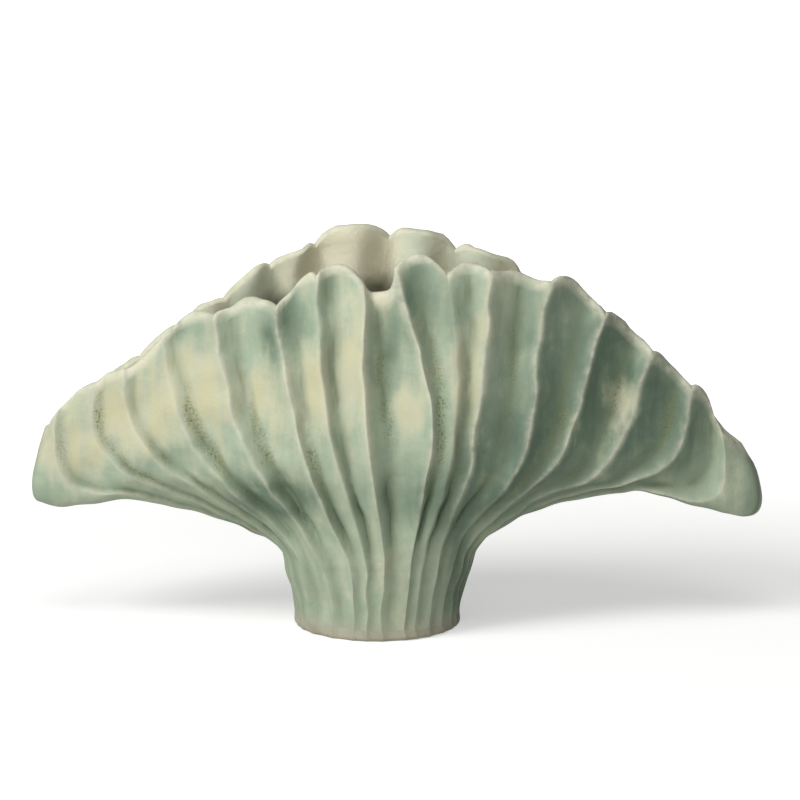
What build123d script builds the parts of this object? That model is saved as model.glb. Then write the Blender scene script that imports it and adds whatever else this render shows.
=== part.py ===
"""Fan vase in hand-built stoneware.

A round floor and a fluted stem carry two pleated slabs, front and back, that open into a wide fan.
Two rounded tips close the ends of the wings. The origin is the middle of the foot's underside, +X runs
to the right wing and -Y to the front.
"""

import os
from math import cos, radians, sin

from build123d import *

# Foot and stem, in millimetres
FOOT_RADIUS = 46.0
BASE_THICKNESS = 6.0
BASE_EDGE_RADIUS = 2.5
WAIST_HEIGHT = 40.0
WAIST_RADIUS = 53.0
STEM_WALL = 8.0
STEM_LEAN = 0.32

# Fan: reach of the wings, depth from the middle plane to each side, heights of the rim, and the wall
LEFT_REACH = 183.0
RIGHT_REACH = 204.0
BELLY_DEPTH = 60.0
BELLY_TIP_DEPTH = 17.0
MOUTH_DEPTH = 38.0
MOUTH_TIP_DEPTH = 13.0
RIM_HEIGHT = 215.0
TIP_RIM_HEIGHT = 105.0
FRONT_PEAK_X = 15.0
BACK_PEAK_X = -10.0
WALL = 6.0

# Run of a crest: its rise out of the stem, the heights where it turns under the wing and at the belly,
# how far out it has come there, how deep the wing's end droops, and the straight below the rim
STEM_RISE = 13.0
RIGHT_STEM_RISE = 20.0
UNDER_HEIGHT = 77.0
LEFT_UNDER_HEIGHT = 63.0
RIGHT_UNDER_HEIGHT = 73.0
BELLY_HEIGHT = 130.0
LEFT_BELLY_HEIGHT = 77.0
RIGHT_BELLY_HEIGHT = 75.0
LEFT_UNDER_SHARE = 0.27
RIGHT_UNDER_SHARE = 0.34
TURN_SHARE = 0.55
BELLY_SHARE = 0.83
LEFT_SHOULDER_SHARE = 1.0
RIGHT_SHOULDER_SHARE = 0.87
NOSE_SHARE = 1.2
LEFT_DROOP = 71.0
RIGHT_DROOP = 71.0
RIM_STRAIGHT = 30.0

# Depth of a flute as a share of its width, at the floor and then along the crest from the waist to the
# rim, and what is left of it at the left end. A flute is steered deepest at FLUTE_LEAN of the way between
# its crests up to the middle of the vase, and at RIGHT_FLUTE_LEAN from RIGHT_LEAN_X on.
FLOOR_FLUTE = 0.04
FLUTES = (0.12, 0.14, 0.18, 0.20, 0.22, 0.23, 0.23)
LEFT_RELIEF = 0.45
FLUTE_LEAN = 0.3
RIGHT_FLUTE_LEAN = 0.5
RIGHT_LEAN_X = 70.0
TIP_ROUND = 0.55
TIP_SHARE = 0.45

# Pleats of each wall: angle on the stem, place at the rim as a share of the wing's reach, how far the
# crest's notch and the lobe that follows it stay below the arch of the rim, and the crest's sway to the
# right at the belly as a share of the reach
FRONT_PLEATS = (
    (-83, -0.945, -5, -4, 0),
    (-75, -0.847, 1, 3, 0),
    (-65, -0.754, 7, 9, 0),
    (-51, -0.634, 6, 2, 0),
    (-33, -0.481, 12, 9, 0),
    (-17, -0.284, 22, 6, 0),
    (-7, -0.177, 8, 2, 0),
    (4, -0.049, 16, 23, 0),
    (21, 0.049, 9, 1, 0.108),
    (29, 0.191, 11, 2, 0.044),
    (40, 0.304, 5, 3, 0),
    (55, 0.461, 5, -4, 0),
    (67, 0.593, 7, 1, 0),
    (76, 0.735, 9, 5, 0),
    (82, 0.843, 9, 3, 0),
    (86, 0.931, 13, 0, 0),
)
BACK_PLEATS = (
    (85, 0.902, 8, 4, 0),
    (79, 0.799, 7, 3, 0),
    (70, 0.672, 8, -7, 0),
    (58, 0.529, -3, 1, 0),
    (42, 0.387, 2, -4, 0),
    (22, 0.221, 4, -5, 0),
    (3, 0.029, 7, -5, 0),
    (-15, -0.186, 7, 4, 0),
    (-31, -0.328, 12, 7, 0),
    (-46, -0.470, 16, 11, 0),
    (-58, -0.590, 15, 9, 0),
    (-69, -0.716, 11, 5, 0),
    (-78, -0.842, 6, 2, 0),
    (-84, -0.940, 3, 0, 0),
)
LEFT_SEAM = (-90, -1, -3, 0, 0)
RIGHT_SEAM = (90, 1, 5, 0, 0)

# Each wall lists its pleats in the order that runs round the pot, with the shape of its rim's arch
FRONT = {
    "side": -1,
    "peak_x": FRONT_PEAK_X,
    "fall": 2.25,
    "pleats": (LEFT_SEAM, *FRONT_PLEATS, RIGHT_SEAM),
}
BACK = {
    "side": 1,
    "peak_x": BACK_PEAK_X,
    "fall": 1.9,
    "pleats": (RIGHT_SEAM, *BACK_PLEATS, LEFT_SEAM),
}


def blend(start, end, share):
    """Point or size at a share of the way from start to end."""
    return start + (end - start) * share


def rim_height(wall, x):
    """Height of the rim's arch at a distance x to the right."""
    end_x = RIGHT_REACH if x > wall["peak_x"] else -LEFT_REACH
    share = abs((x - wall["peak_x"]) / (end_x - wall["peak_x"]))
    return blend(RIM_HEIGHT, TIP_RIM_HEIGHT, share ** wall["fall"])


def on_stem(wall, angle, radius, height):
    """Point on the stem at an angle from the middle of the wall."""
    turn = radians(angle)
    return Vector(radius * sin(turn), wall["side"] * radius * cos(turn), height)


def crest_points(wall, angle, place, notch, sway):
    """Control points of one crest, from the waist out under the wing and up to the rim."""
    if place > 0:
        reach, stem_rise, droop = RIGHT_REACH, RIGHT_STEM_RISE, RIGHT_DROOP
        under_height, belly_height = RIGHT_UNDER_HEIGHT, RIGHT_BELLY_HEIGHT
        under_share, shoulder_share = RIGHT_UNDER_SHARE, RIGHT_SHOULDER_SHARE
    else:
        reach, stem_rise, droop = LEFT_REACH, STEM_RISE, LEFT_DROOP
        under_height, belly_height = LEFT_UNDER_HEIGHT, LEFT_BELLY_HEIGHT
        under_share, shoulder_share = LEFT_UNDER_SHARE, LEFT_SHOULDER_SHARE
    out = abs(place)
    spread = out**1.3
    side = 0 if out == 1 else wall["side"]
    belly_y = side * blend(BELLY_TIP_DEPTH, BELLY_DEPTH, (1 - out**2) ** 1.5)
    mouth_y = side * blend(MOUTH_TIP_DEPTH, MOUTH_DEPTH, (1 - out**2) ** 2)
    waist = on_stem(wall, angle, WAIST_RADIUS, WAIST_HEIGHT)
    rise = blend(STEM_RISE, stem_rise, spread)
    flare = on_stem(wall, angle, WAIST_RADIUS + STEM_LEAN * rise, WAIST_HEIGHT + rise)
    rim = Vector(place * reach, mouth_y, rim_height(wall, place * reach) - notch)
    under = Vector(
        blend(waist.X, rim.X, under_share) + sway * reach * under_share,
        (waist.Y + belly_y) / 2,
        blend(UNDER_HEIGHT, under_height, spread),
    )
    belly = Vector(
        blend(waist.X, rim.X, BELLY_SHARE) + sway * reach,
        belly_y,
        blend(BELLY_HEIGHT, belly_height, spread),
    )
    shoulder = Vector(
        blend(waist.X, rim.X, blend(shoulder_share, NOSE_SHARE, out**8)) + sway * reach * TURN_SHARE,
        (belly_y + mouth_y) / 2,
        rim.Z - blend(RIM_STRAIGHT, droop, out**6),
    )
    return [waist, flare, under, blend(under, belly, TURN_SHARE), belly, shoulder, rim]


def run(crest, row):
    """Direction of a crest at one of its control points."""
    return crest[min(row + 1, len(crest) - 1)] - crest[max(row - 1, 0)]


def inward(row, across, along):
    """Direction into the pot at one row of control points, kept level at the joint with the stem."""
    if row < 2:
        along = Vector(0, 0, 1)
    return along.cross(across).normalized()


def inner_crest(before, crest, after):
    """A crest moved into the pot by the thickness of the wall."""
    inner = []
    for row, point in enumerate(crest):
        across = after[row] - before[row]
        if crest in (before, after):
            across = Vector(0, across.Y, 0)
        inner.append(point + inward(row, across, run(crest, row)) * WALL)
    inner[3] = blend(inner[2], inner[4], TURN_SHARE)
    return inner


def relief(x):
    """Share of a flute's full depth at a distance x to the right."""
    return blend(1, LEFT_RELIEF, max(0, -x / LEFT_REACH) ** 2)


def hollow_point(a, b, into, depth):
    """Control point of the hollow between two points on its crests."""
    x = (a.X + b.X) / 2
    lean = blend(FLUTE_LEAN, RIGHT_FLUTE_LEAN, min(max(x / RIGHT_LEAN_X, 0), 1))
    return blend(a, b, lean) + into * (b - a).length * 2 * depth * relief(x)


def flute_points(wall, a, b, dip):
    """Control points of the hollow between two crests, outside and inside, with its lobe at the rim."""
    outer = []
    inner = []
    for row in range(len(a)):
        into = inward(row, b[row] - a[row], run(a, row) + run(b, row))
        hollow = hollow_point(a[row], b[row], into, FLUTES[row])
        outer.append(hollow)
        inner.append(hollow + into * WALL)
    middle = (a[-1] + b[-1]) / 2
    lobe = Vector(0, 0, 2 * (rim_height(wall, middle.X) - dip - middle.Z))
    for points in (outer, inner):
        points[3] = blend(points[2], points[4], TURN_SHARE)
        points[-2] += lobe / 2
        points[-1] += lobe
    return outer, inner


def seam_points(seam, inner_seam, ridge):
    """Control points of the rounded strip between a wall's last crest and the seam of the two walls."""
    bulges = [Vector(0, TIP_ROUND * point.Y, 0) for point in ridge]
    outer = [point + bulge for point, bulge in zip(seam, bulges)]
    inner = [point + bulge * (1 - WALL / WAIST_RADIUS) for point, bulge in zip(inner_seam, bulges)]
    return outer, inner


def lip_points(outer, inner):
    """Control points across the rounded lip, from the outer to the inner surface."""
    rise = (outer[-1] - outer[-2]).normalized() * WALL * 2 / 3
    return [outer[-1], outer[-1] + rise, inner[-1] + rise, inner[-1]]


def fan_slab(wall):
    """Solid slab with a concave flute between each pair of crests, closed at the waist and the seams."""
    crests = []
    for angle, place, notch, dip, sway in wall["pleats"]:
        crests.append(crest_points(wall, angle, place, notch, sway))
    inners = []
    for crest, before, after in zip(crests, crests[:1] + crests, crests[1:] + crests[-1:]):
        inners.append(inner_crest(before, crest, after))
    last = len(crests) - 2
    faces = []
    hem = []
    for number in range(last + 1):
        a, b = crests[number], crests[number + 1]
        inner_a, inner_b = inners[number], inners[number + 1]
        if number == 0:
            hollow, inner_hollow = seam_points(a, inner_a, b)
        elif number == last:
            hollow, inner_hollow = seam_points(b, inner_b, a)
        else:
            hollow, inner_hollow = flute_points(wall, a, b, wall["pleats"][number][3])
        for net in ((a, hollow, b), (inner_a, inner_hollow, inner_b)):
            faces.append(Face.make_bezier_surface([points[:4] for points in net]))
            faces.append(Face.make_bezier_surface([points[3:] for points in net]))
            hem.append(Edge.make_bezier(*[points[0] for points in net]))
        edges = ((a, inner_a), (hollow, inner_hollow), (b, inner_b))
        faces.append(Face.make_bezier_surface([lip_points(*pair) for pair in edges]))
    for outer, inner in ((crests[0], inners[0]), (crests[-1], inners[-1])):
        hem.append(Edge.make_line(outer[0], inner[0]))
        curves = (outer[:4], outer[3:], lip_points(outer, inner), inner[3:], inner[:4])
        faces.append(Face(Wire([Edge.make_bezier(*points) for points in curves] + hem[-1:])))
    faces.append(Face(Wire(hem)))
    return Solid(Shell(faces))


def stem_flutes(share):
    """Flutes around the stem at a share of the way from the floor to the waist, each as three points."""
    radius = blend(FOOT_RADIUS, WAIST_RADIUS, share**1.25)
    depth = blend(FLOOR_FLUTE, FLUTES[0], share)
    flutes = []
    for wall in (FRONT, BACK):
        crests = [on_stem(wall, pleat[0], radius, 0) for pleat in wall["pleats"]]
        for a, b in zip(crests[:-1], crests[1:]):
            hollow = hollow_point(a, b, inward(0, b - a, None), depth)
            if a is crests[0]:
                hollow = Vector(a.X, TIP_ROUND * b.Y)
            if b is crests[-1]:
                hollow = Vector(b.X, TIP_ROUND * a.Y)
            flutes.append((a, hollow, b))
    return flutes


front_slab = fan_slab(FRONT)
back_slab = fan_slab(BACK)
left_end = Plane.YZ.offset(blend(-1, FRONT_PLEATS[0][1], TIP_SHARE) * LEFT_REACH)
right_end = Plane.YZ.offset(blend(1, FRONT_PLEATS[-1][1], TIP_SHARE) * RIGHT_REACH)

# Floor of the stem: a flat disc with a rounded foot
with BuildPart() as base_slab:
    with BuildSketch():
        Circle(FOOT_RADIUS)
    extrude(amount=BASE_THICKNESS)
    fillet(base_slab.edges().group_by(Axis.Z)[0], BASE_EDGE_RADIUS)

# Stem: a hollow wall whose flutes deepen from the floor to the waist
with BuildPart() as pedestal:
    for share in (0, 0.5, 1):
        with BuildSketch(Plane.XY.offset(blend(BASE_THICKNESS, WAIST_HEIGHT, share))):
            with BuildLine():
                for flute in stem_flutes(share):
                    Bezier(*flute)
            make_face()
    loft()
    with BuildSketch(Plane.XZ):
        with BuildLine():
            Polyline(
                (0, BASE_THICKNESS),
                (FOOT_RADIUS - STEM_WALL, BASE_THICKNESS),
                (WAIST_RADIUS - STEM_WALL, WAIST_HEIGHT),
                (0, WAIST_HEIGHT),
                close=True,
            )
        make_face()
    revolve(axis=Axis.Z, mode=Mode.SUBTRACT)

# Pleated walls of the fan, cut off where the tips begin
with BuildPart() as front_wall:
    add(front_slab)
    split(bisect_by=left_end, keep=Keep.TOP)
    split(bisect_by=right_end, keep=Keep.BOTTOM)

with BuildPart() as back_wall:
    add(back_slab)
    split(bisect_by=left_end, keep=Keep.TOP)
    split(bisect_by=right_end, keep=Keep.BOTTOM)

# Tips: the rounded ends of both walls in one piece
with BuildPart() as left_tip:
    for slab in (front_slab, back_slab):
        split(slab, bisect_by=left_end, keep=Keep.BOTTOM, mode=Mode.ADD)

with BuildPart() as right_tip:
    for slab in (front_slab, back_slab):
        split(slab, bisect_by=right_end, keep=Keep.TOP, mode=Mode.ADD)

base_slab.part.label = "base_slab"
pedestal.part.label = "pedestal"
front_wall.part.label = "front_wall"
back_wall.part.label = "back_wall"
left_tip.part.label = "left_tip"
right_tip.part.label = "right_tip"

os.makedirs("parts", exist_ok=True)
export_step(base_slab.part, "parts/base_slab.step")
export_step(pedestal.part, "parts/pedestal.step")
export_step(front_wall.part, "parts/front_wall.step")
export_step(back_wall.part, "parts/back_wall.step")
export_step(left_tip.part, "parts/left_tip.step")
export_step(right_tip.part, "parts/right_tip.step")
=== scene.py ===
from math import atan2, cos, exp, hypot, pi, radians, sin

import bmesh
import bpy
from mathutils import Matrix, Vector, noise


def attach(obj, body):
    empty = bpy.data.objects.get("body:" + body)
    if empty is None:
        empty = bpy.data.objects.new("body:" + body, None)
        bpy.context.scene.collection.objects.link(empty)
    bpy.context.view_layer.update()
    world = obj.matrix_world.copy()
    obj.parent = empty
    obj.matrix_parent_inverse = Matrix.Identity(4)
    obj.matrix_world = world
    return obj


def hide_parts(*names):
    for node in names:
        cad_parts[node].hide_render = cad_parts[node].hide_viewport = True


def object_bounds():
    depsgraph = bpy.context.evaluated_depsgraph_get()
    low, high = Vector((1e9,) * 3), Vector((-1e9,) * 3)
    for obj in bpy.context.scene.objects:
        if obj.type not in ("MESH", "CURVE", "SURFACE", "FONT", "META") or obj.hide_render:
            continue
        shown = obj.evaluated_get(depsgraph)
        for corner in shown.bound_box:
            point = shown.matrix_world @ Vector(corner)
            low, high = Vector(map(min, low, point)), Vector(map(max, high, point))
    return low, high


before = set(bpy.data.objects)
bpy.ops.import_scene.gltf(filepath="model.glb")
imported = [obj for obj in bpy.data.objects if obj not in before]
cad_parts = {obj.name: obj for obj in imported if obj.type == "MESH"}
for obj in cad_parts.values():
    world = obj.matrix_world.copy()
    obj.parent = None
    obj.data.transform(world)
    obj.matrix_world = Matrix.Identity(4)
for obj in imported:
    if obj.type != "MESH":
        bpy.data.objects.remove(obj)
cad_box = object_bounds()

# Stem: a hollow stoneware collar, pressed into flutes that deepen from the foot to the waist, where the
# walls of the fan are luted on. Each of its ridges runs on into one of their pleats.
MM = 0.001
FOOT_RADIUS = 46.0
FOOT_THICKNESS = 6.0
WAIST_HEIGHT = 40.0
WAIST_RADIUS = 53.0
STEM_WALL = 8.0
FLOOR_FLUTE = 0.04
FLUTES = (0.12, 0.14, 0.18, 0.20, 0.22, 0.23, 0.23)
LEFT_RELIEF = 0.3
LEFT_REACH = 183.0
TIP_ROUND = 0.55
FLUTE_STEPS = 14
FLUTE_ROUND = 2.1
STEM_ROWS = 15
STEM_CURVE = 1.25
STEM_CREST = 0.35
STEM_GROOVE = 0.6
# How far the inside of the stem is taken into the painted shade
STEM_DARK = 1.7

# Pleats of each wall in the order that runs round the vase: angle on the stem, place at the rim as a share
# of the wing's reach, how far the notch and the lobe after it stay below the rim's arch, sway at the belly,
# and how soft the crest is
ANGLE, PLACE, DIP, SOFTNESS = 0, 1, 3, 5
LEFT_SEAM = (-90, -1, -3, 0, 0, 0)
RIGHT_SEAM = (90, 1, 5, 0, 0, 0)
FRONT = {"side": -1, "peak": 15.0, "fall": 2.25, "deepest": (0.16, 0.3, 0.7), "pleats": (
    LEFT_SEAM,
    (-83, -0.945, -5, -4, 0, 0.5),
    (-75, -0.847, 1, 3, 0, 0.5),
    (-65, -0.754, 7, 9, 0, 0.45),
    (-51, -0.634, 6, 2, 0, 0.4),
    (-33, -0.481, 12, 9, 0, 0.25),
    (-17, -0.284, 22, 6, 0, 0.1),
    (-7, -0.177, 8, 2, 0, 0.5),
    (4, -0.049, 16, 23, 0, 0.1),
    (21, 0.049, 9, 1, 0.108, 0.1),
    (29, 0.191, 11, 2, 0.044, 0.8),
    (40, 0.304, 5, 3, 0, 0.1),
    (55, 0.461, 5, -4, 0, 0.15),
    (67, 0.593, 7, 1, 0, 0.15),
    (76, 0.735, 9, 5, 0, 0.2),
    (82, 0.843, 9, 3, 0, 0.25),
    (86, 0.931, 13, 0, 0, 0.3),
    RIGHT_SEAM,
)}
BACK = {"side": 1, "peak": -10.0, "fall": 1.9, "deepest": (0.5, 0.5, 0.5), "pleats": (
    RIGHT_SEAM,
    (85, 0.902, 8, 4, 0, 0.6),
    (79, 0.799, 7, 3, 0, 0.6),
    (70, 0.672, 8, -7, 0, 0.6),
    (58, 0.529, -3, 1, 0, 0.6),
    (42, 0.387, 2, -4, 0, 0.6),
    (22, 0.221, 4, -5, 0, 0.6),
    (3, 0.029, 7, -5, 0, 0.6),
    (-15, -0.186, 7, 4, 0, 0.6),
    (-31, -0.328, 12, 7, 0, 0.6),
    (-46, -0.470, 16, 11, 0, 0.6),
    (-58, -0.590, 15, 9, 0, 0.6),
    (-69, -0.716, 14, 9, 0, 0.6),
    (-78, -0.842, 9, 6, 0, 0.6),
    (-84, -0.940, 3, 0, 0, 0.6),
    LEFT_SEAM,
)}

# Where the glaze ran thin and broke to cream, where it lies thick and deep green or carries painted shade (on
# the right wing, beside the rim lobes, on the belly and on the stem's right), where olive specks gathered in
# the flutes, where the inside is green and where painted shadow darkens it, all in millimetres: distance to
# the right, height, half width and half height
CREAM_RUNS = (
    (-16, 150, 9, 32), (-36, 140, 10, 26), (48, 151, 10, 28), (17, 130, 9, 16), (-65, 136, 13, 18),
    (-99, 146, 17, 22), (-140, 120, 30, 24), (-176, 97, 15, 13), (134, 128, 7, 12), (0, 191, 10, 6),
)
# Deep pools: thick deep green glaze, and painted shade on the right wing, beside the rim lobes, under the
# belly and on the stem's right
DEEP_POOLS_AND_SHADE = (
    (108, 142, 38, 70), (158, 118, 34, 36), (40, 82, 40, 18), (-45, 82, 24, 9), (-62, 78, 20, 12),
    (-109, 173, 6, 7), (-45, 178, 8, 14), (-57, 166, 5, 16), (4, 160, 8, 20), (24, 190, 13, 24),
    (126, 157, 10, 20), (46, 34, 8, 44), (70, 104, 26, 26),
)
SPECK_RUNS = (
    (-62, 110, 9, 26), (-101, 125, 8, 14), (-90, 98, 8, 18), (-150, 120, 8, 10), (-138, 103, 8, 12),
    (-124, 92, 8, 12), (-36, 99, 8, 14), (4, 150, 9, 12), (10, 126, 9, 12), (37, 130, 8, 46),
    (80, 125, 9, 40), (104, 114, 9, 28), (136, 128, 8, 18), (162, 108, 9, 22), (-166, 104, 8, 12),
)
GREEN_INSIDE = ((22, 204, 9, 40), (54, 196, 13, 40), (-70, 180, 20, 32))
# Painted shadow in the gaps behind the notch and behind the lobe left of it
DARK_GAPS = ((0, 182, 16, 7), (-55, 172, 13, 6))


def colour(code):
    """Linear colour of an sRGB hex code."""
    channels = [int(code[i:i + 2], 16) / 255 for i in (1, 3, 5)]
    return (*[c / 12.92 if c <= 0.04045 else ((c + 0.055) / 1.055) ** 2.4 for c in channels], 1.0)


def new_material(name):
    """A material with its Principled shader."""
    material = bpy.data.materials.new(name)
    material.use_nodes = True
    return material, material.node_tree.nodes["Principled BSDF"]


def node(material, kind, settings=None, links=None, stops=None, **properties):
    """A node with its properties, socket values, incoming links and, for a ramp, its colour stops."""
    made = material.node_tree.nodes.new(kind)
    for name, value in properties.items():
        setattr(made, name, value)
    for socket, value in (settings or {}).items():
        made.inputs[socket].default_value = value
    for socket, source in (links or {}).items():
        material.node_tree.links.new(source, made.inputs[socket])
    for number, (position, value) in enumerate(stops or ()):
        ramp = made.color_ramp.elements
        stop = ramp[number] if number < len(ramp) else ramp.new(position)
        stop.position, stop.color = position, value
    return made


# Dents that the potter's hands left, broad and small: how wide they are, how far they push the clay, and how
# near the outermost points they fade out, in millimetres. The seed keeps them the same in every run.
BROAD_DENT, BROAD_PUSH = 36.0, 3.4
SMALL_DENT, SMALL_PUSH = 14.0, 1.3
DENT_FADE = 6.0
noise.seed_set(5)


def hand_wobble(place):
    """How far the hand-pressed clay strays at a place, both in millimetres; none at the outermost points."""
    low, high = cad_box[0] / MM, cad_box[1] / MM
    room = min(min(place[i] - low[i], high[i] - place[i]) for i in range(3))
    broad = noise.noise_vector(place / BROAD_DENT)
    small = noise.noise_vector(place / SMALL_DENT)
    return (broad * BROAD_PUSH + small * SMALL_PUSH) * min(max(room / DENT_FADE, 0.0), 1.0)


SHARP_EDGE = radians(50)


def add_piece(bm, name, material, node_name):
    """Wobble a piece that was modelled in millimetres, scale it to metres and let it stand for its CAD node.
    """
    for v in bm.verts:
        v.co += hand_wobble(v.co)
    bmesh.ops.recalc_face_normals(bm, faces=bm.faces)
    for e in bm.edges:
        e.smooth = len(e.link_faces) != 2 or e.calc_face_angle() < SHARP_EDGE
    bmesh.ops.scale(bm, vec=(MM, MM, MM), verts=bm.verts)
    mesh = bpy.data.meshes.new(name)
    bm.to_mesh(mesh)
    bm.free()
    for face in mesh.polygons:
        face.use_smooth = True
    mesh.materials.append(material)
    piece = bpy.data.objects.new(name, mesh)
    bpy.context.scene.collection.objects.link(piece)
    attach(piece, "root")
    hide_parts(node_name)
    return piece


def on_stem(wall, angle, radius, height):
    """Point on the stem at an angle from the middle of a wall."""
    turn = radians(angle)
    return Vector((radius * sin(turn), wall["side"] * radius * cos(turn), height))


# Where a flute leans to neither side, and how far left and right of there it leans most, in millimetres
UPRIGHT_AT, LEAN_LEFT, LEAN_RIGHT = 20, 150, 70


def deepest_share(wall, x):
    """Where across a flute it is deepest: near its first crest far left, near its last one far right."""
    left, middle, right = wall["deepest"]
    if x < UPRIGHT_AT:
        return left + (middle - left) * max(0.0, 1 - (UPRIGHT_AT - x) / LEAN_LEFT)
    return middle + (right - middle) * min((x - UPRIGHT_AT) / LEAN_RIGHT, 1.0)


def flute_depth(step, deepest, soft_first, soft_last):
    """How deep a flute is at a step across it, from 0 on its crests, rounded by their softness, to 1."""
    edge, soft = (step / deepest, soft_first) if step < deepest else ((1 - step) / (1 - deepest), soft_last)
    edge = (hypot(edge, soft) - soft) / (hypot(1, soft) - soft)
    return 1 - (1 - edge) ** FLUTE_ROUND


def across_flute(a, hollow, b, step, depth):
    """Point across a flute from crest a to crest b at its depth there."""
    return a.lerp(b, step) + (hollow - a.lerp(b, 0.5)) / 2 * depth


# How much deeper or shallower than even a flute gets along its run, and over what length in millimetres
UNEVEN, UNEVEN_RUN = 0.6, 30.0


def hollow_point(a, b, into, depth):
    """Point that steers the uneven floor of a flute between its crests, shallower to the left."""
    middle = a.lerp(b, 0.5)
    relief = 1 - (1 - LEFT_RELIEF) * max(0.0, -middle.x / LEFT_REACH) ** 2
    uneven = 1 + UNEVEN * noise.noise(middle / UNEVEN_RUN)
    return middle + into * (b - a).length * 2 * depth * relief * uneven


# What the glaze is told at each point: how near a crest, a groove, olive specks, a cream run and a deep pool
# or patch of painted shade it is, and where it is inside, from 1 at the rim to 2 where painted shade makes it
# dark.
# Crests and grooves are so many millimetres wide to the eye.
GLAZE_MARKS = ("crest", "groove", "specks", "cream", "deep", "inside")
CREST_WIDTH, GROOVE_WIDTH = 1.6, 3.2


def glaze_layers(bm):
    """Layers of a mesh for the marks of the glaze."""
    return {mark: bm.verts.layers.float.new(mark) for mark in GLAZE_MARKS}


def in_spots(place, spots):
    """How far a place lies inside a list of soft spots, from 0 to 1."""
    return min(1.0, sum(
        exp(-((place.x - x) / half_width) ** 2 - ((place.z - z) / half_height) ** 2)
        for x, z, half_width, half_height in spots
    ))


def set_glaze(v, layers, step, deepest, width, sharp):
    """Mark a vertex by its place across a flute, the flute's width and how sharp its crest is."""
    crest = sharp * exp(-(min(step, 1 - step) * width / CREST_WIDTH) ** 2)
    groove = exp(-((step - deepest) * width / GROOVE_WIDTH) ** 2)
    specks = groove * in_spots(v.co, SPECK_RUNS)
    marks = (crest, groove, specks, in_spots(v.co, CREAM_RUNS), in_spots(v.co, DEEP_POOLS_AND_SHADE), 0.0)
    for name, mark in zip(GLAZE_MARKS, marks):
        v[layers[name]] = mark


# Matte celadon glaze on stoneware: a pale, slightly cloudy sea green that breaks to cream where it is thin
# and on the crests, and pools to a deeper green with olive specks in the flutes. It has a soft satin shine.
celadon, shader = new_material("matte celadon glaze")
place = node(celadon, "ShaderNodeTexCoord").outputs["Object"]
on_crest, in_groove, in_specks, in_cream, deep_shade_or_green, indoors = [
    node(celadon, "ShaderNodeAttribute", attribute_name=mark).outputs["Fac"] for mark in GLAZE_MARKS
]
mottle = node(
    celadon, "ShaderNodeTexNoise", {"Scale": 1 / (16 * MM), "Detail": 6.0, "Roughness": 0.62},
    {"Vector": place},
)
drawn = node(celadon, "ShaderNodeMapping", {"Scale": (1.0, 1.0, 0.16)}, {"Vector": place})
runs = node(
    celadon, "ShaderNodeTexNoise", {"Scale": 1 / (8 * MM), "Detail": 5.0}, {"Vector": drawn.outputs["Vector"]}
)
clumps = node(celadon, "ShaderNodeTexNoise", {"Scale": 1 / (6 * MM), "Detail": 2.0}, {"Vector": place})
grain = node(celadon, "ShaderNodeTexNoise", {"Scale": 1 / (1.2 * MM), "Detail": 2.0}, {"Vector": place})
wash = node(
    celadon, "ShaderNodeMix", {"Factor": 0.45}, {"A": mottle.outputs["Fac"], "B": runs.outputs["Fac"]}
).outputs["Result"]
body = node(
    celadon, "ShaderNodeValToRGB", links={"Fac": wash},
    stops=[(0.36, colour("#99ab93")), (0.5, colour("#a9b69d")), (0.62, colour("#bac0a5"))],
)
# Thick glaze colour, which the deep pools also use as painted shade
thick_glaze_and_shade = node(
    celadon, "ShaderNodeValToRGB", links={"Fac": wash},
    stops=[(0.36, colour("#4f6453")), (0.5, colour("#5b725f")), (0.62, colour("#72866f"))],
)
deep_or_shade_mask = node(celadon, "ShaderNodeMapRange", {"To Max": 0.9}, {"Value": deep_shade_or_green})
deepened_or_shaded = node(
    celadon, "ShaderNodeMix",
    links={
        "Factor": deep_or_shade_mask.outputs["Result"], "A": body.outputs["Color"], "B": thick_glaze_and_shade.outputs["Color"],
    },
    data_type="RGBA",
)
thin = node(
    celadon, "ShaderNodeMath", {1: 1.6}, {0: wash, 2: in_cream}, operation="MULTIPLY_ADD"
)
creamy = node(
    celadon, "ShaderNodeMapRange", {"From Min": 0.95, "From Max": 1.6, "To Max": 0.85},
    {"Value": thin.outputs["Value"]},
)
broken = node(
    celadon, "ShaderNodeMix", {"B": colour("#c4c3a8")},
    {"Factor": creamy.outputs["Result"], "A": deepened_or_shaded.outputs["Result"]}, data_type="RGBA",
)
streak = node(
    celadon, "ShaderNodeMapRange", {"From Min": 0.44, "From Max": 0.62, "To Max": 0.6},
    {"Value": runs.outputs["Fac"]},
)
streak_here = node(
    celadon, "ShaderNodeMath", links={0: streak.outputs["Result"], 1: creamy.outputs["Result"]},
    operation="MULTIPLY",
)
strawed = node(
    celadon, "ShaderNodeMix", {"B": colour("#c8c396")},
    {"Factor": streak_here.outputs["Value"], "A": broken.outputs["Result"]}, data_type="RGBA",
)
run_mask = node(
    celadon, "ShaderNodeMapRange", {"From Min": 0.3, "From Max": 0.6, "To Min": 0.25, "To Max": 0.95},
    {"Value": runs.outputs["Fac"]},
)
pooling = node(
    celadon, "ShaderNodeMath", links={0: in_groove, 1: run_mask.outputs["Result"]}, operation="MULTIPLY"
)
pooled = node(
    celadon, "ShaderNodeMix", {"B": colour("#69785f")},
    {"Factor": pooling.outputs["Value"], "A": strawed.outputs["Result"]}, data_type="RGBA",
)
clump_mask = node(
    celadon, "ShaderNodeMapRange", {"From Min": 0.36, "From Max": 0.5}, {"Value": clumps.outputs["Fac"]}
)
speck_mask = node(
    celadon, "ShaderNodeMapRange", {"From Min": 0.46, "From Max": 0.54}, {"Value": grain.outputs["Fac"]}
)
clumped = node(
    celadon, "ShaderNodeMath", links={0: clump_mask.outputs["Result"], 1: speck_mask.outputs["Result"]},
    operation="MULTIPLY",
)
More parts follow.
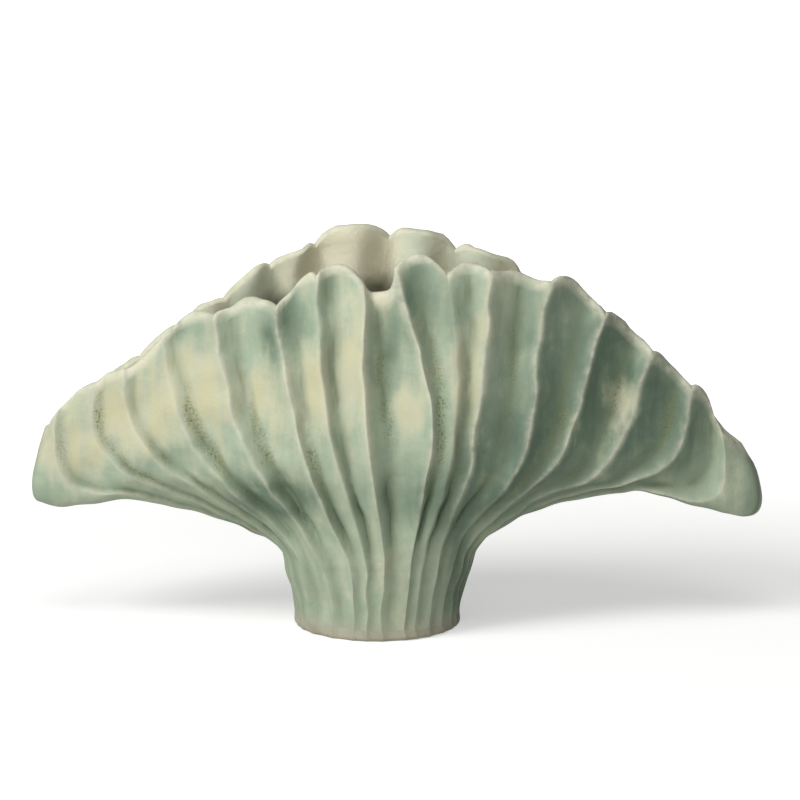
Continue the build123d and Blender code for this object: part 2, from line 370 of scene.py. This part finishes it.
speck_here = node(
    celadon, "ShaderNodeMath", links={0: clumped.outputs["Value"], 1: in_specks}, operation="MULTIPLY"
)
speck = node(
    celadon, "ShaderNodeValToRGB", links={"Fac": grain.outputs["Fac"]},
    stops=[(0.5, colour("#959254")), (0.62, colour("#5a633f"))],
)
specked = node(
    celadon, "ShaderNodeMix",
    links={
        "Factor": speck_here.outputs["Value"], "A": pooled.outputs["Result"], "B": speck.outputs["Color"],
    },
    data_type="RGBA",
)
worn = node(
    celadon, "ShaderNodeMapRange", {"From Min": 0.38, "From Max": 0.6, "To Min": 0.35, "To Max": 0.75},
    {"Value": clumps.outputs["Fac"]},
)
crest_mask = node(
    celadon, "ShaderNodeMath", links={0: on_crest, 1: worn.outputs["Result"]}, operation="MULTIPLY"
)
crested = node(
    celadon, "ShaderNodeMix", {"B": colour("#d2cfb9")},
    {"Factor": crest_mask.outputs["Value"], "A": specked.outputs["Result"]}, data_type="RGBA",
)
inside_mask = node(celadon, "ShaderNodeMapRange", {"To Max": 0.92}, {"Value": indoors})
# Cream glaze of the inside, greener where the inside is marked green, painted lighter than the glaze is as
# painted light for light that hardly reaches in
lining_with_painted_light = node(
    celadon, "ShaderNodeMix", {"A": colour("#f4eed2"), "B": colour("#e0e8d0")}, {"Factor": deep_shade_or_green},
    data_type="RGBA",
)
lined = node(
    celadon, "ShaderNodeMix",
    links={
        "Factor": inside_mask.outputs["Result"], "A": crested.outputs["Result"],
        "B": lining_with_painted_light.outputs["Result"],
    },
    data_type="RGBA",
)
# Painted shade inside: the lining darkens to near black further below the rim, in the gaps behind the notches
# and inside the stem
inside_shade_mask = node(celadon, "ShaderNodeMapRange", {"From Min": 1.0, "From Max": 2.0}, {"Value": indoors})
inside_shaded = node(
    celadon, "ShaderNodeMix", {"B": colour("#434430")},
    {"Factor": inside_shade_mask.outputs["Result"], "A": lined.outputs["Result"]}, data_type="RGBA",
)
height = node(celadon, "ShaderNodeSeparateXYZ", links={"Vector": place}).outputs["Z"]
ragged = node(
    celadon, "ShaderNodeMath", {1: 10 * MM}, {0: mottle.outputs["Fac"], 2: height}, operation="MULTIPLY_ADD"
)
wiped = node(
    celadon, "ShaderNodeMapRange", {"From Min": 10 * MM, "From Max": 18 * MM, "To Min": 0.75, "To Max": 0.0},
    {"Value": ragged.outputs["Value"]},
)
footed = node(
    celadon, "ShaderNodeMix", {"B": colour("#a8a390")},
    {"Factor": wiped.outputs["Result"], "A": inside_shaded.outputs["Result"]}, data_type="RGBA",
)
satin = node(
    celadon, "ShaderNodeMapRange", {"To Min": 0.55, "To Max": 0.75}, {"Value": mottle.outputs["Fac"]}
)
lumps = node(
    celadon, "ShaderNodeBump", {"Strength": 0.6, "Distance": 2 * MM}, {"Height": mottle.outputs["Fac"]}
)
skin = node(
    celadon, "ShaderNodeBump", {"Strength": 0.3, "Distance": 0.3 * MM},
    {"Height": grain.outputs["Fac"], "Normal": lumps.outputs["Normal"]},
)
celadon.node_tree.links.new(footed.outputs["Result"], shader.inputs["Base Color"])
celadon.node_tree.links.new(satin.outputs["Result"], shader.inputs["Roughness"])
celadon.node_tree.links.new(skin.outputs["Normal"], shader.inputs["Normal"])

stem_flutes = [(wall, *pair) for wall in (FRONT, BACK) for pair in zip(wall["pleats"], wall["pleats"][1:])]
ring = len(stem_flutes) * FLUTE_STEPS


def spin_round(corners, cuts):
    """Ring with a profile of four corners, its two upright sides divided by cuts."""
    bm = bmesh.new()
    corners = [bm.verts.new((-radius, 0, height)) for radius, height in corners]
    profile = [bm.edges.new(pair) for pair in zip(corners, corners[1:] + corners[:1])]
    bmesh.ops.subdivide_edges(bm, edges=[profile[0], profile[2]], cuts=cuts)
    bmesh.ops.spin(
        bm, geom=bm.verts[:] + bm.edges[:], cent=(0, 0, 0), axis=(0, 0, 1), angle=2 * pi, steps=ring,
        use_merge=True,
    )
    return bm


def press_flutes(bm):
    """Press the flutes into the outside of a ring and mark it for the glaze."""
    layers = glaze_layers(bm)
    for v in bm.verts:
        radius = hypot(v.co.x, v.co.y)
        share = max(0.0, (v.co.z - FOOT_THICKNESS) / (WAIST_HEIGHT - FOOT_THICKNESS))
        straight = FOOT_RADIUS + (WAIST_RADIUS - FOOT_RADIUS) * share
        column = round((atan2(v.co.y, v.co.x) + pi) / (2 * pi) * ring) % ring
        wall, first, last = stem_flutes[column // FLUTE_STEPS]
        step = 0.5 - cos(pi * (column % FLUTE_STEPS) / FLUTE_STEPS) / 2
        if radius < straight - STEM_WALL / 2:
            angle = first[ANGLE] + (last[ANGLE] - first[ANGLE]) * step
            v.co = on_stem(wall, angle, radius, v.co.z)
            v[layers["inside"]] = STEM_DARK
            continue
        radius += FOOT_RADIUS + (WAIST_RADIUS - FOOT_RADIUS) * share**STEM_CURVE - straight
        a, b = [on_stem(wall, pleat[ANGLE], radius, v.co.z) for pleat in (first, last)]
        deepest = deepest_share(wall, (a.x + b.x) / 2)
        if LEFT_SEAM in (first, last) or RIGHT_SEAM in (first, last):
            seam, ridge = (a, b) if first in (LEFT_SEAM, RIGHT_SEAM) else (b, a)
            hollow = Vector((seam.x, TIP_ROUND * ridge.y, v.co.z))
            depth = 4 * step * (1 - step)
        else:
            into = Vector((0, 0, 1)).cross(b - a).normalized()
            hollow = hollow_point(a, b, into, FLOOR_FLUTE + (FLUTES[0] - FLOOR_FLUTE) * share)
            depth = flute_depth(step, deepest, first[SOFTNESS], last[SOFTNESS])
        v.co = across_flute(a, hollow, b, step, depth)
        set_glaze(v, layers, step, deepest, (b - a).length, STEM_CREST * share)
        v[layers["groove"]] *= STEM_GROOVE


bm = spin_round((
    (FOOT_RADIUS, FOOT_THICKNESS), (WAIST_RADIUS, WAIST_HEIGHT),
    (WAIST_RADIUS - STEM_WALL, WAIST_HEIGHT), (FOOT_RADIUS - STEM_WALL, FOOT_THICKNESS),
), STEM_ROWS)
press_flutes(bm)
stem = add_piece(bm, "fluted_stem", celadon, "pedestal")

# Foot: a round slab of the same clay, 92 mm wide and 6 mm thick, luted under the stem so that the flutes run
# down over its edge. Its lower edge was rubbed round and wiped free of glaze before firing.
FOOT_EDGE = 2.5

# Bare buff stoneware: dry and faintly pink, sandy to the eye, with a few iron specks and no shine. The last
# of the wiped glaze clouds its upper half with green.
bare_clay, shader = new_material("bare buff stoneware")
place = node(bare_clay, "ShaderNodeTexCoord").outputs["Object"]
cloud = node(bare_clay, "ShaderNodeTexNoise", {"Scale": 1 / (9 * MM), "Detail": 4.0}, {"Vector": place})
clay = node(
    bare_clay, "ShaderNodeValToRGB", links={"Fac": cloud.outputs["Fac"]},
    stops=[(0.3, colour("#9f9985")), (0.5, colour("#a8a390")), (0.7, colour("#b4af9d"))],
)
grog = node(bare_clay, "ShaderNodeTexNoise", {"Scale": 1 / (0.9 * MM), "Detail": 2.0}, {"Vector": place})
iron = node(
    bare_clay, "ShaderNodeMapRange", {"From Min": 0.66, "From Max": 0.72}, {"Value": grog.outputs["Fac"]}
)
specked = node(
    bare_clay, "ShaderNodeMix", {"B": colour("#8a7355")},
    {"Factor": iron.outputs["Result"], "A": clay.outputs["Color"]}, data_type="RGBA",
)
height = node(bare_clay, "ShaderNodeSeparateXYZ", links={"Vector": place}).outputs["Z"]
ragged = node(
    bare_clay, "ShaderNodeMath", {1: 4 * MM}, {0: cloud.outputs["Fac"], 2: height}, operation="MULTIPLY_ADD"
)
wiped = node(
    bare_clay, "ShaderNodeMapRange", {"From Min": 4 * MM, "From Max": 9 * MM, "To Max": 0.5},
    {"Value": ragged.outputs["Value"]},
)
clouded = node(
    bare_clay, "ShaderNodeMix", {"B": colour("#98a38d")},
    {"Factor": wiped.outputs["Result"], "A": specked.outputs["Result"]}, data_type="RGBA",
)
sand = node(
    bare_clay, "ShaderNodeBump", {"Strength": 0.3, "Distance": 0.3 * MM}, {"Height": grog.outputs["Fac"]}
)
shader.inputs["Roughness"].default_value = 0.85
bare_clay.node_tree.links.new(clouded.outputs["Result"], shader.inputs["Base Color"])
bare_clay.node_tree.links.new(sand.outputs["Normal"], shader.inputs["Normal"])

bm = spin_round((
    (FOOT_RADIUS, 0), (FOOT_RADIUS, FOOT_THICKNESS),
    (FOOT_RADIUS - STEM_WALL, FOOT_THICKNESS), (FOOT_RADIUS - STEM_WALL, 0),
), 1)
lower_edge = [e for e in bm.edges if all(v.co.z < 0.1 and v.co.xy.length > FOOT_RADIUS - 1 for v in e.verts)]
bmesh.ops.bevel(
    bm, geom=lower_edge, offset=FOOT_EDGE, affect="EDGES", segments=6, profile=0.5, material=-1
)
inner_side = [f for f in bm.faces if all(v.co.xy.length < FOOT_RADIUS - STEM_WALL + 0.1 for v in f.verts)]
bmesh.ops.delete(bm, geom=inner_side, context="FACES")
bmesh.ops.holes_fill(bm, edges=[e for e in bm.edges if e.is_boundary], sides=0)
press_flutes(bm)
foot = add_piece(bm, "foot_slab", bare_clay, "base_slab")

# Front wall: a 6 mm slab of the same clay, folded into pleats that spread from the stem to a notched rim.
# Its lip is rubbed round, and its ends are luted to the back wall under the wings.
RIGHT_REACH = 204.0
BELLY_DEPTH = 60.0
BELLY_TIP_DEPTH = 17.0
MOUTH_DEPTH = 38.0
MOUTH_TIP_DEPTH = 13.0
RIM_HEIGHT = 215.0
TIP_RIM_HEIGHT = 105.0
SLAB = 6.0
STEM_RISE = 13.0
RIGHT_STEM_RISE = 20.0
STEM_LEAN = 0.32
UNDER_HEIGHT = 77.0
LEFT_UNDER_HEIGHT = 63.0
RIGHT_UNDER_HEIGHT = 73.0
BELLY_HEIGHT = 130.0
LEFT_BELLY_HEIGHT = 77.0
RIGHT_BELLY_HEIGHT = 75.0
LEFT_UNDER_SHARE = 0.27
RIGHT_UNDER_SHARE = 0.34
TURN_SHARE = 0.55
BELLY_SHARE = 0.83
LEFT_SHOULDER_SHARE = 1.0
RIGHT_SHOULDER_SHARE = 0.87
NOSE_SHARE = 1.2
LEFT_DROOP = 71.0
RIGHT_DROOP = 71.0
RIM_STRAIGHT = 30.0
TIP_SHARE = 0.45
SPREAD = 1.3
BELLY_ROUND = 1.5
MOUTH_ROUND = 2
NOSE_LATE = 8
DROOP_LATE = 6
PULL_IN = 0.5
PULL_REACH = (100, 150)
PULL_HEIGHT = (85, 115)
WINGS = (50, 110)
UNDER_WINGS = (0.3, 0.55)
UNDER_FADE = 0.7
LEFT_WING = (40, 110)
OVER_LEFT_WING = (0.6, 0.85)
OVER_FADE = 0.65
FLARE = 4.0
FLARE_START = 0.8
FLARE_END = (130, 180)
FLARE_ROOM = 12
DEEP_NOTCH = 5
NOTCH_FILL = 3
NOTCH_FLAT = 10
NOTCH_ROLL = 0.3
NOTCH_LIP = 0.94
RIM_LIP = 0.975
RIM_CREST = 1.2
# Share of the inside lining, with its painted light, that the lip gets
LIP_LINING = 0.4
LOW_CREST = 0.2
CREST_GROWTH = (0.2, 0.6)
GROOVE_GROWTH = (0.05, 0.25)
# Painted shade inside: the drop below the rim over which it grows, how dark it gets there, and how dark the
# painted shadow in the notch gaps is
DARK_DROP = (26, 70)
DARK_SHARE = 0.7
GAP_DARK = 0.85
CREASE_DEPTH = 4.2
CREASE_HEIGHT = 74.0
CREASE_RISE = 18
CREASE_REACH = 75
CREASE_WIDTH = 0.1
NICKS = 1.4
NICK_SIZE = 9.0
OUTER_ROWS = 80
LIP_ROWS = 8
INNER_ROWS = 40
LEFT_END = -LEFT_REACH * (1 - (1 + FRONT["pleats"][1][PLACE]) * TIP_SHARE)
RIGHT_END = RIGHT_REACH * (1 - (1 - FRONT["pleats"][-2][PLACE]) * TIP_SHARE)

# Each crest is steered by seven points. The first two are on the stem, the fourth is where the crest turns up
# and the last is at the rim.
ON_STEM, TURN, RIM = 2, 3, 6


def blend(start, end, share):
    """Point or size at a share of the way from start to end."""
    return start + (end - start) * share


def smooth_share(value, low, high):
    """How far a value has gone from low to high, from 0 to 1, with a gentle start and end."""
    share = min(max((value - low) / (high - low), 0.0), 1.0)
    return share * share * (3 - 2 * share)


def rim_height(wall, x):
    """Height of the rim's arch at a distance x to the right."""
    end = RIGHT_REACH if x > wall["peak"] else -LEFT_REACH
    share = abs((x - wall["peak"]) / (end - wall["peak"]))
    return blend(RIM_HEIGHT, TIP_RIM_HEIGHT, share ** wall["fall"])


def crest_line(wall, angle, place, notch, sway):
    """Points that steer one crest from the waist out under the wing and up to the rim."""
    if place > 0:
        reach, stem_rise, droop = RIGHT_REACH, RIGHT_STEM_RISE, RIGHT_DROOP
        under_height, belly_height = RIGHT_UNDER_HEIGHT, RIGHT_BELLY_HEIGHT
        under_share, shoulder_share = RIGHT_UNDER_SHARE, RIGHT_SHOULDER_SHARE
    else:
        reach, stem_rise, droop = LEFT_REACH, STEM_RISE, LEFT_DROOP
        under_height, belly_height = LEFT_UNDER_HEIGHT, LEFT_BELLY_HEIGHT
        under_share, shoulder_share = LEFT_UNDER_SHARE, LEFT_SHOULDER_SHARE
    out = abs(place)
    spread = out**SPREAD
    side = 0 if out == 1 else wall["side"]
    belly_y = side * blend(BELLY_TIP_DEPTH, BELLY_DEPTH, (1 - out**2) ** BELLY_ROUND)
    mouth_y = side * blend(MOUTH_TIP_DEPTH, MOUTH_DEPTH, (1 - out**2) ** MOUTH_ROUND)
    waist = on_stem(wall, angle, WAIST_RADIUS, WAIST_HEIGHT)
    rise = blend(STEM_RISE, stem_rise, spread)
    flare = on_stem(wall, angle, WAIST_RADIUS + STEM_LEAN * rise, WAIST_HEIGHT + rise)
    rim = Vector((place * reach, mouth_y, rim_height(wall, place * reach) - notch))
    under = Vector((
        blend(waist.x, rim.x, under_share) + sway * reach * under_share,
        (waist.y + belly_y) / 2,
        blend(UNDER_HEIGHT, under_height, spread),
    ))
    belly = Vector((
        blend(waist.x, rim.x, BELLY_SHARE) + sway * reach,
        belly_y,
        blend(BELLY_HEIGHT, belly_height, spread),
    ))
    shoulder = Vector((
        blend(waist.x, rim.x, blend(shoulder_share, NOSE_SHARE, out**NOSE_LATE)) + sway * reach * TURN_SHARE,
        (belly_y + mouth_y) / 2,
        rim.z - blend(RIM_STRAIGHT, droop, out**DROOP_LATE),
    ))
    return [waist, flare, under, blend(under, belly, TURN_SHARE), belly, shoulder, rim]


def inward(row, across, run):
    """Direction into the vase at one row of steering points, kept level at the joint with the stem."""
    return (Vector((0, 0, 1)) if row < ON_STEM else run).cross(across).normalized()


def run_of(crest, row):
    """Direction of a crest at one of its steering points."""
    return crest[min(row + 1, RIM)] - crest[max(row - 1, 0)]


def pull_in(point):
    """A point inside, moved clear of the flutes outside where the floor of a wing turns up."""
    low = smooth_share(abs(point.x), *PULL_REACH) * (1 - smooth_share(point.z, *PULL_HEIGHT))
    return Vector((point.x, point.y * (1 - PULL_IN * low), point.z))


def inner_line(before, crest, after):
    """A crest moved into the vase by the thickness of the slab."""
    inner = []
    for row, point in enumerate(crest):
        across = after[row] - before[row]
        if crest is before or crest is after:
            across = Vector((0, across.y, 0))
        inner.append(pull_in(point + inward(row, across, run_of(crest, row)) * SLAB))
    inner[TURN] = blend(inner[TURN - 1], inner[TURN + 1], TURN_SHARE)
    return inner


def hollow_lines(a, b):
    """Points that steer the floor of the flute between two crests, outside and inside."""
    outer, inner = [], []
    for row in range(RIM + 1):
        into = inward(row, b[row] - a[row], run_of(a, row) + run_of(b, row))
        outer.append(hollow_point(a[row], b[row], into, FLUTES[row]))
        inner.append(pull_in(outer[-1] + into * SLAB))
    for points in (outer, inner):
        points[TURN] = blend(points[TURN - 1], points[TURN + 1], TURN_SHARE)
    return outer, inner


def curve_point(points, share):
    """Point at a share of the way along a curve that its points steer."""
    while len(points) > 1:
        points = [a.lerp(b, share) for a, b in zip(points, points[1:])]
    return points[0]


def crest_point(points, share):
    """Point at a share of the way from the waist to the rim."""
    if share < 0.5:
        return curve_point(points[:TURN + 1], 2 * share)
    return curve_point(points[TURN:], 2 * share - 1)


def slab_point(lines, lobe, share, step, depth):
    """Point on one side of the slab at a share of its run, across a flute that ends in a lobe at the rim."""
    a, hollow, b = [crest_point(points, share) for points in lines]
    point = across_flute(a, hollow, b, step, depth)
    late = max(0.0, 2 * share - 1)
    arch = 4 * step * (1 - step) if lobe > 0 else 1 - (2 * step - 1) ** NOTCH_FLAT
    point.z += arch * lobe * (1.5 * late**2 * (1 - late) + late**3)
    return point


def fold_slab(wall):
    """Flat clay sheet folded into the pleats: up the outside, over the lip and down the inside."""
    crests = [
        crest_line(wall, angle, place, notch, sway) for angle, place, notch, dip, sway, soft in wall["pleats"]
    ]
    inners = [
        inner_line(before, crest, after)
        for before, crest, after in zip(crests[:1] + crests, crests, crests[1:] + crests[-1:])
    ]
    flutes = []
    last = len(crests) - 2
    for number in range(last + 1):
        a, b, inner_a, inner_b = crests[number], crests[number + 1], inners[number], inners[number + 1]
        rounded = number in (0, last)
        lobe = 0.0
        if rounded:
            seam, inner_seam, ridge = (a, inner_a, b) if number == 0 else (b, inner_b, a)
            bulges = [Vector((0, TIP_ROUND * point.y, 0)) for point in ridge]
            hollow = [point + bulge for point, bulge in zip(seam, bulges)]
            thinner = 1 - SLAB / WAIST_RADIUS
            inner_hollow = [point + bulge * thinner for point, bulge in zip(inner_seam, bulges)]
        else:
            hollow, inner_hollow = hollow_lines(a, b)
            middle = (a[RIM] + b[RIM]) / 2
            lobe = rim_height(wall, middle.x) - wall["pleats"][number][DIP] - middle.z
        softness = [pleat[SOFTNESS] for pleat in wall["pleats"][number:number + 2]]
        flutes.append(((a, hollow, b), (inner_a, inner_hollow, inner_b), lobe, rounded, softness))
    columns = len(flutes) * FLUTE_STEPS
    rows = OUTER_ROWS + LIP_ROWS + INNER_ROWS
    bm = bmesh.new()
    layers = glaze_layers(bm)
    bmesh.ops.create_grid(bm, x_segments=columns, y_segments=rows, size=1)
    for v in bm.verts:
        column = round((v.co.x + 1) / 2 * columns)
        row = round((v.co.y + 1) / 2 * rows)
        number = min(column // FLUTE_STEPS, last)
        step = 0.5 - cos(pi * (column / FLUTE_STEPS - number)) / 2
        outer, inner, lobe, rounded, softness = flutes[number]
        if lobe < -DEEP_NOTCH:
            first, hollow, second = outer
            lobe += NOTCH_FILL + (second[RIM].z - first[RIM].z) * (0.5 - step)
        if row <= OUTER_ROWS:
            lines, share, lip = outer, row / OUTER_ROWS, 0.0
        elif row < OUTER_ROWS + LIP_ROWS:
            lines, share, lip = outer, 1.0, (row - OUTER_ROWS) / LIP_ROWS
        else:
            lines, share, lip = inner, (rows - row) / INNER_ROWS, 1.0
        a, hollow, b = [crest_point(points, share) for points in lines]
        deepest = deepest_share(wall, (a.x + b.x) / 2)
        wing = smooth_share(abs(a.x + b.x) / 2, *WINGS)
        left = smooth_share(-(a.x + b.x) / 2, *LEFT_WING)
        under = UNDER_FADE * wing * (1 - smooth_share(share, *UNDER_WINGS))
        over = OVER_FADE * left * smooth_share(share, *OVER_LEFT_WING)
        fluted = 1 - under - over
        depth = 4 * step * (1 - step) if rounded else fluted * flute_depth(step, deepest, *softness)
        v.co = slab_point(lines, lobe, share, step, depth)
        if 0 < lip < 1:
            below = slab_point(outer, lobe, 0.98, step, depth)
            rise = (v.co - below).normalized() * SLAB * 2 / 3
            top = slab_point(inner, lobe, share, step, depth)
            v.co = curve_point([v.co.copy(), v.co + rise, top + rise, top], lip)
        flare = FLARE * (1 - smooth_share(abs(v.co.x), *FLARE_END))
        flare += NOTCH_ROLL * max(0.0, -lobe) * 4 * step * (1 - step)
        late = smooth_share(share, FLARE_START, 1)
        v.co.y += wall["side"] * flare * late**2 * min(1.0, abs(v.co.y) / FLARE_ROOM)
        if lip == 1:
            # Painted shade inside: darker the further below the rim, and darkest in the gaps behind the
            # notches
            drop = slab_point(inner, lobe, 1.0, step, depth).z - v.co.z
            dark = max(DARK_SHARE * smooth_share(drop, *DARK_DROP), GAP_DARK * in_spots(v.co, DARK_GAPS))
            v[layers["deep"]] = in_spots(v.co, GREEN_INSIDE)
            v[layers["inside"]] = 1 + dark
            continue
        sharp = (1 - softness[step > deepest]) * blend(LOW_CREST, 1.0, smooth_share(share, *CREST_GROWTH))
        set_glaze(v, layers, step, deepest, (b - a).length, sharp)
        if lip == 0 and not rounded:
            near = exp(-((v.co.z - CREASE_HEIGHT) / CREASE_RISE) ** 2 - (v.co.x / CREASE_REACH) ** 4)
            crease = CREASE_DEPTH * near * exp(-((step - deepest) / CREASE_WIDTH) ** 2)
            v.co += (hollow - a.lerp(b, 0.5)).normalized() * crease
        at_rim = smooth_share(share, NOTCH_LIP if lobe < -DEEP_NOTCH else RIM_LIP, 1)
        v.co.z -= NICKS * (0.5 + noise.noise(v.co / NICK_SIZE)) * at_rim * (1 - lip**4)
        pooled_here = blend(STEM_GROOVE, 1.0, smooth_share(share, *GROOVE_GROWTH))
        v[layers["crest"]] = max(v[layers["crest"]], RIM_CREST * at_rim)
        v[layers["groove"]] *= fluted**0.5 * (1 - at_rim) * pooled_here
        v[layers["inside"]] = LIP_LINING * lip
    hem = [e for e in bm.edges if e.is_boundary and all(abs(v.co.z - WAIST_HEIGHT) < 0.01 for v in e.verts)]
    bmesh.ops.bridge_loops(bm, edges=hem)
    bmesh.ops.holes_fill(bm, edges=[e for e in bm.edges if e.is_boundary], sides=0)
    return bm


def cut_slab(bm, x, keep):
    """Cut a slab across the wing at x, keep the part on one side and close the cut."""
    cut = bmesh.ops.bisect_plane(
        bm, geom=bm.verts[:] + bm.edges[:] + bm.faces[:], dist=0.001, plane_co=(x, 0, 0),
        plane_no=(keep, 0, 0), clear_inner=True,
    )
    rim = [e for e in cut["geom_cut"] if isinstance(e, bmesh.types.BMEdge)]
    bmesh.ops.holes_fill(bm, edges=rim, sides=0)


front_slab = fold_slab(FRONT)
bm = front_slab.copy()
cut_slab(bm, LEFT_END, 1)
cut_slab(bm, RIGHT_END, -1)
front = add_piece(bm, "front_wall_slab", celadon, "front_wall")

# Back wall: the second pleated slab of the same clay, luted to the stem and to the ends of the front wall.
# Its rim stands higher in the middle and shows its cream inside above the front.
back_slab = fold_slab(BACK)
bm = back_slab.copy()
cut_slab(bm, LEFT_END, 1)
cut_slab(bm, RIGHT_END, -1)
back = add_piece(bm, "back_wall_slab", celadon, "back_wall")


# Left tip: the rounded stoneware end that closes the left wing. The ends of both slabs were pinched together
# into one nose while the clay was soft, and the glaze runs on over it.
WELD = 0.01


def join_tip(x, keep):
    """Both slabs beyond a cut, welded into one closed nose."""
    nose = bmesh.new()
    for slab in (front_slab, back_slab):
        half = slab.copy()
        cut_slab(half, x, keep)
        inner_faces = [f for f in half.faces if all(abs(v.co.y) < 0.001 for v in f.verts)]
        bmesh.ops.delete(half, geom=inner_faces, context="FACES_ONLY")
        mesh = bpy.data.meshes.new("half")
        half.to_mesh(mesh)
        half.free()
        nose.from_mesh(mesh)
        bpy.data.meshes.remove(mesh)
    bmesh.ops.remove_doubles(nose, verts=nose.verts, dist=WELD)
    return nose


left_tip = add_piece(join_tip(LEFT_END, -1), "left_tip_end", celadon, "left_tip")

# Right tip: the stoneware end that closes the right wing, pinched from both slabs in the same way. It is a
# little longer than the left one and hangs lower.
right_tip = add_piece(join_tip(RIGHT_END, 1), "right_tip_end", celadon, "right_tip")
front_slab.free()
back_slab.free()

# Studio: a sheet of white paper to stand on, a large soft lamp high up in front to the left, weaker lamps
# above and in front, and a weak white surround.

# White paper: dull and even, and so bright where the camera sees it that only the vase's shadow shows.
paper, shader = new_material("white paper floor")
paper_coat = node(paper, "ShaderNodeLightPath").outputs["Is Camera Ray"]
shader.inputs["Base Color"].default_value = colour("#dededc")
shader.inputs["Roughness"].default_value = 1.0
shader.inputs["Specular IOR Level"].default_value = 0.0
shader.inputs["Emission Color"].default_value = colour("#ffffff")
place = node(paper, "ShaderNodeTexCoord").outputs["Object"]
far = node(paper, "ShaderNodeVectorMath", links={0: place}, operation="LENGTH")
lit = node(
    paper, "ShaderNodeMapRange", {"From Min": 0.2, "From Max": 0.9, "To Min": 0.45, "To Max": 1.0},
    {"Value": far.outputs["Value"]}, interpolation_type="SMOOTHSTEP",
)
glow = node(paper, "ShaderNodeMath", links={0: lit.outputs["Result"], 1: paper_coat}, operation="MULTIPLY")
paper.node_tree.links.new(glow.outputs["Value"], shader.inputs["Emission Strength"])
bm = bmesh.new()
bmesh.ops.create_grid(bm, x_segments=1, y_segments=1, size=6.0)
mesh = bpy.data.meshes.new("paper_floor")
bm.to_mesh(mesh)
bm.free()
mesh.materials.append(paper)
floor = bpy.data.objects.new("paper_floor", mesh)
bpy.context.scene.collection.objects.link(floor)

world = bpy.data.worlds.new("white surround")
world.use_nodes = True
bpy.context.scene.world = world
surround = world.node_tree.nodes["Background"]
surround.inputs["Color"].default_value = colour("#ffffff")
seen = node(world, "ShaderNodeLightPath").outputs["Is Camera Ray"]
level = node(world, "ShaderNodeMapRange", {"To Min": 0.19, "To Max": 1.0}, {"Value": seen})
world.node_tree.links.new(level.outputs["Result"], surround.inputs["Strength"])

VASE_MIDDLE = Vector((0.0, 0.0, 0.11))


def add_lamp(name, size, power, place):
    """Square lamp of a size in metres and a power in watts that shines on the middle of the vase."""
    light = bpy.data.lights.new(name, "AREA")
    light.size = size
    light.energy = power
    lamp = bpy.data.objects.new(name, light)
    lamp.location = place
    lamp.rotation_euler = (VASE_MIDDLE - lamp.location).to_track_quat("-Z", "Y").to_euler()
    bpy.context.scene.collection.objects.link(lamp)


add_lamp("key_lamp", 1.2, 56.0, (-1.85, -1.35, 1.95))
add_lamp("top_lamp", 1.0, 15.0, (-0.2, -1.3, 2.4))
add_lamp("front_lamp", 1.6, 22.0, (-0.5, -2.9, 0.4))

# Camera: in front of the vase and 12 degrees above it, 2.8 m away with a long lens, so that the vase lies in
# the picture as it does in the photograph.
CAMERA_RISE = 12
CAMERA_DISTANCE = 2.8
aim = Vector((0.01265, 0.0, 0.1257))
lens = bpy.data.cameras.new("camera")
lens.lens = 229.1
camera = bpy.data.objects.new("camera", lens)
towards = Vector((0, -cos(radians(CAMERA_RISE)), sin(radians(CAMERA_RISE))))
camera.location = aim + CAMERA_DISTANCE * towards
camera.rotation_euler = (radians(90 - CAMERA_RISE), 0, 0)
bpy.context.scene.collection.objects.link(camera)
bpy.context.scene.camera = camera
bpy.context.scene.view_settings.view_transform = "Standard"
